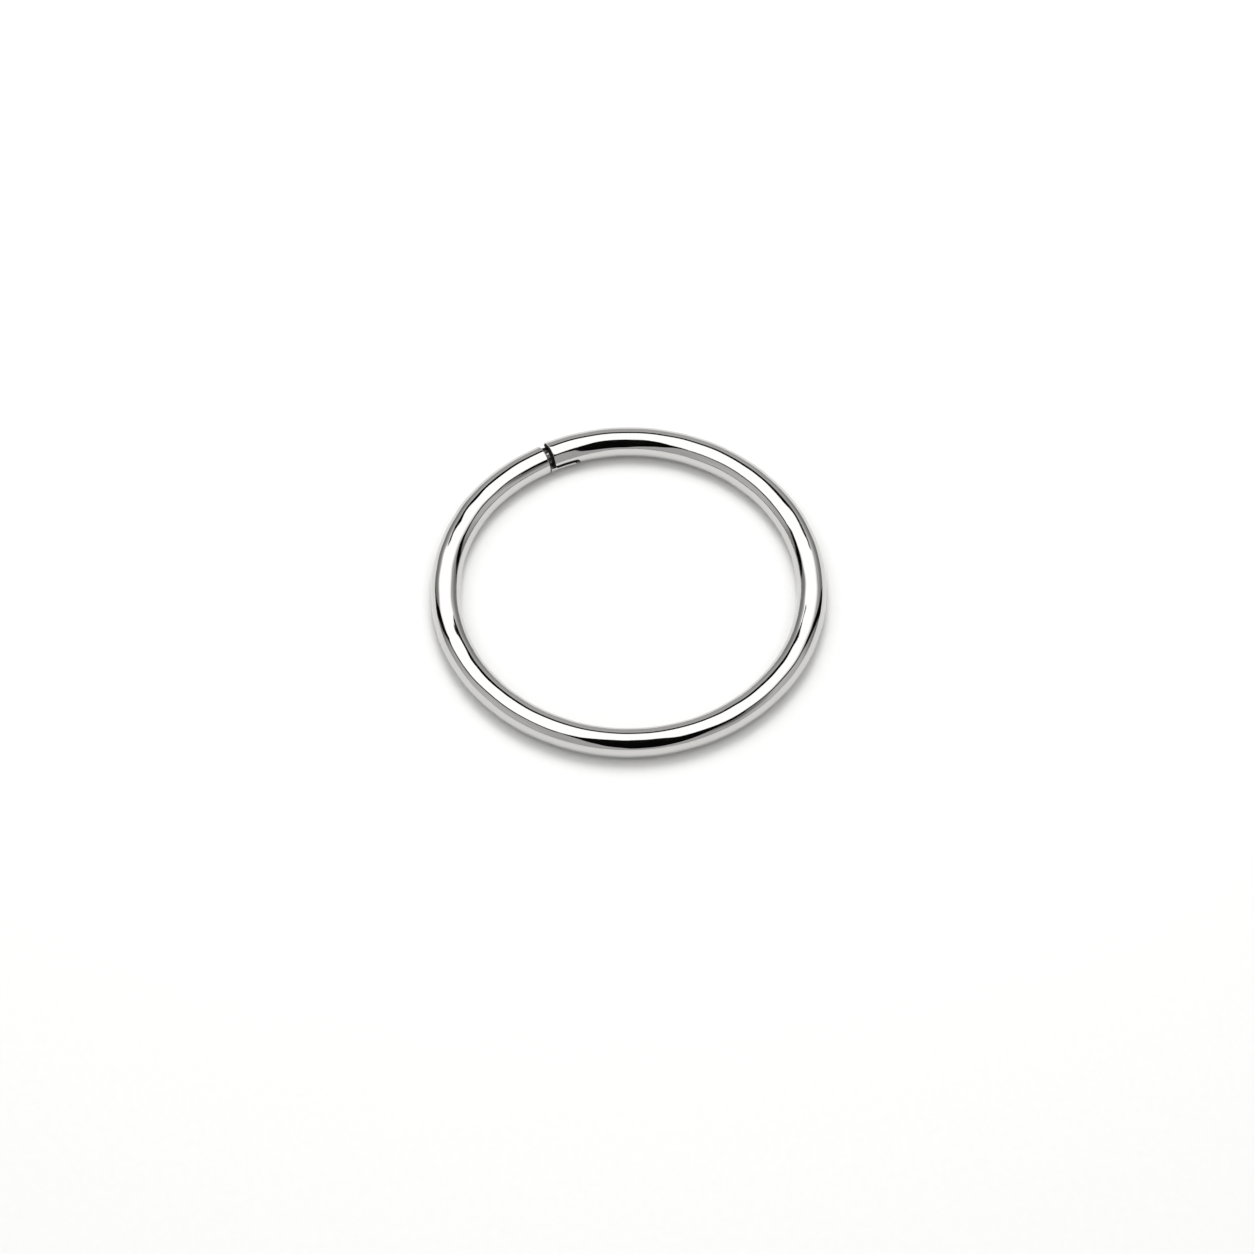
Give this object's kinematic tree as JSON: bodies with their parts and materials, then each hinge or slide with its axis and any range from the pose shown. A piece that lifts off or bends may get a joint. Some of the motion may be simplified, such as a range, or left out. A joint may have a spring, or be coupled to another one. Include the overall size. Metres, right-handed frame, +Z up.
{
  "type": "twist hoop earring",
  "caption": "Plain round-wire hoop in polished metal, whose ends lap into each other and part when the hoop is twisted.",
  "frame": {"origin": "middle of the ring, on the surface that the hoop lies on", "axes": "+Z up, square to the plane of the ring; -Y towards the picture's camera, with the joint at the back left"},
  "size_m": [0.02, 0.02, 0.0015],
  "materials": {
    "polished_steel": "mirror-polished stainless steel"
  },
  "bodies": {
    "root": {"hoop": "polished_steel"}
  },
  "joints": []
}
